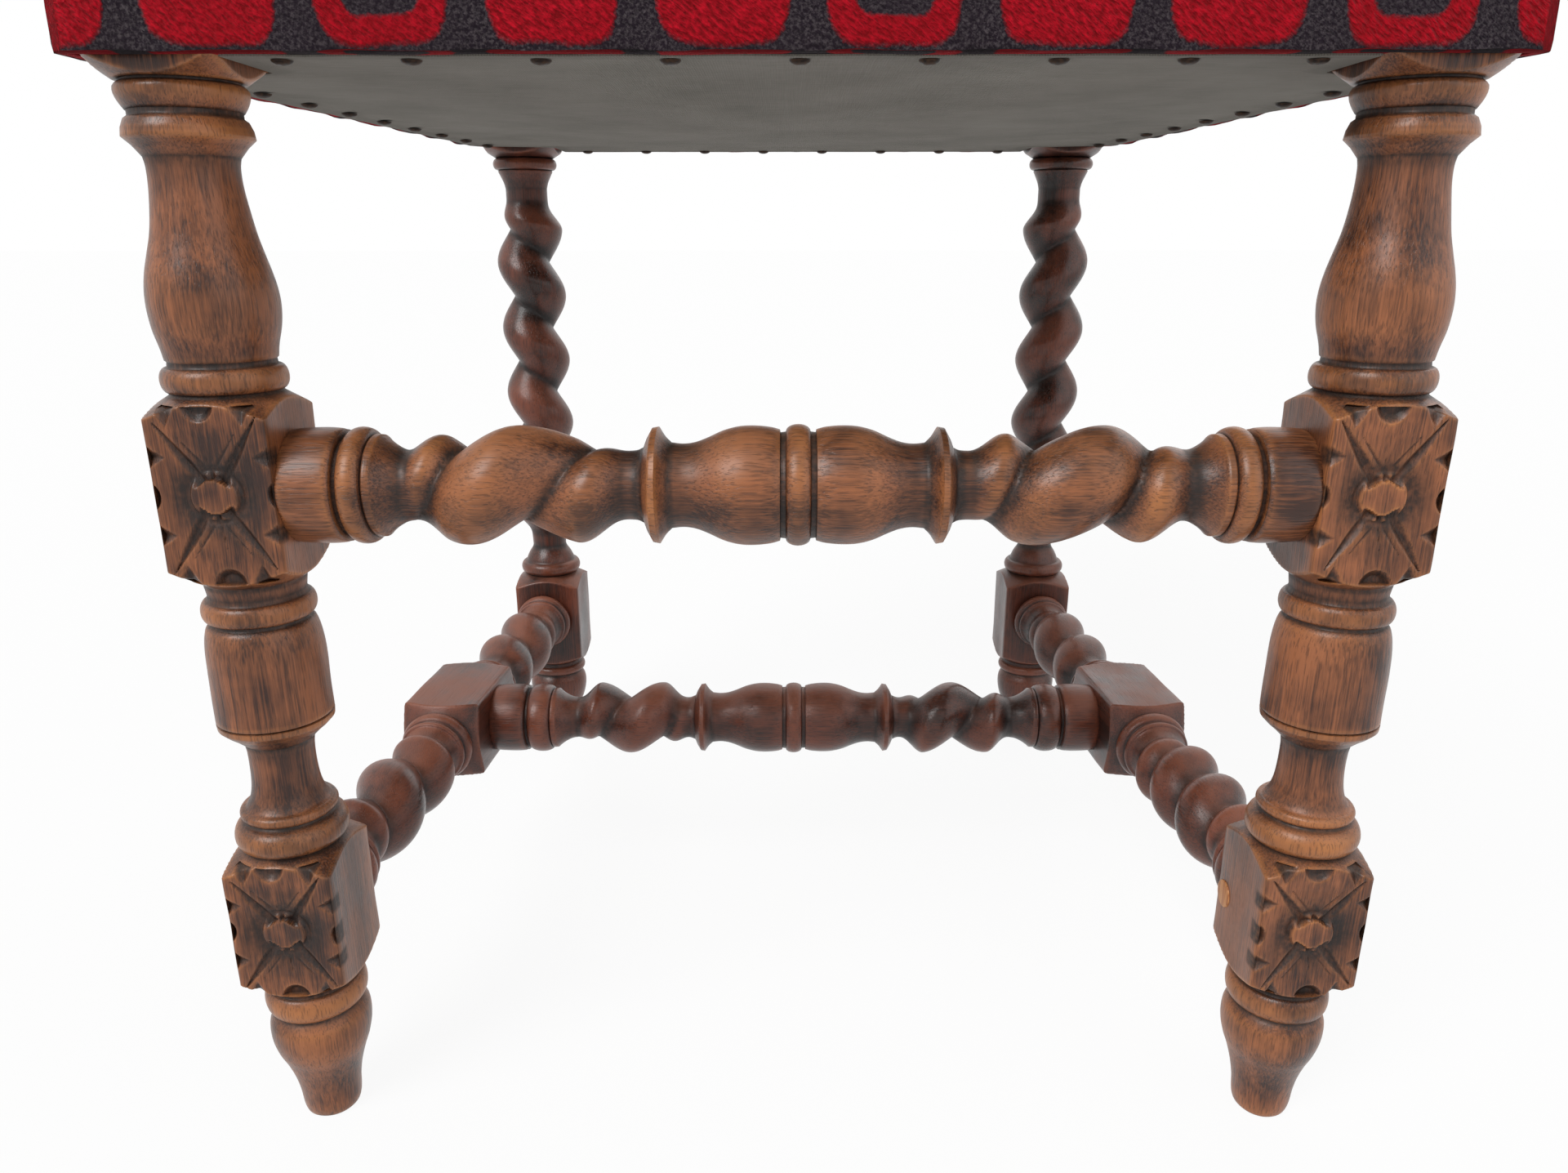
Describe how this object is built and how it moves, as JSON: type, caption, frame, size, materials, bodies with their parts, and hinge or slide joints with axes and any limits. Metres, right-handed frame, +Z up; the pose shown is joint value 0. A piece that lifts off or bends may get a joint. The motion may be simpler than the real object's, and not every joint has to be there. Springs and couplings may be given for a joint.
{
  "type": "upholstered side chair",
  "caption": "Oak side chair with carved and twist-turned legs, an H-stretcher, a high front stretcher and an upholstered seat and back.",
  "frame": {"origin": "on the floor, below the middle of the chair's outline", "axes": "+Z up, the front of the seat faces -Y, +X to the right of someone who looks at the front"},
  "size_m": [0.4682, 0.4836, 1.0171],
  "materials": {
    "oak_front": "stained and waxed",
    "oak_dark": "dark stain, polished",
    "plug_wood": "bare",
    "frame_wood": "bare beech",
    "screw_steel": "plain",
    "tack_steel": "blued",
    "seat_cloth": "woven wool",
    "dust_cloth": "plain weave",
    "webbing": "jute",
    "hessian": "jute",
    "stuffing": "loose fill"
  },
  "bodies": {
    "root": {"back_cloth_tacks": "tack_steel", "back_cover": "seat_cloth", "back_hessian": "hessian", "back_outside_cloth": "dust_cloth", "back_rail_lower": "frame_wood", "back_rail_top": "frame_wood", "back_stile_left": "frame_wood", "back_stile_right": "frame_wood", "back_stuffing": "stuffing", "back_webbing": "webbing", "corner_block_front_left": "frame_wood", "corner_block_front_right": "frame_wood", "corner_block_rear_left": "frame_wood", "corner_block_rear_right": "frame_wood", "corner_block_screws": "screw_steel", "cross_stretcher": "oak_dark", "dust_cloth": "dust_cloth", "dust_cloth_tacks": "tack_steel", "front_leg_left": "oak_front", "front_leg_right": "oak_front", "front_stretcher": "oak_front", "rear_leg_left": "oak_dark", "rear_leg_right": "oak_dark", "repair_plug": "plug_wood", "seat_cover": "seat_cloth", "seat_hessian": "hessian", "seat_rail_front": "frame_wood", "seat_rail_left": "frame_wood", "seat_rail_rear": "frame_wood", "seat_rail_right": "frame_wood", "seat_stuffing": "stuffing", "side_stretcher_left": "oak_dark", "side_stretcher_right": "oak_dark", "webbing_front_to_back": "webbing", "webbing_side_to_side": "webbing"}
  },
  "joints": []
}
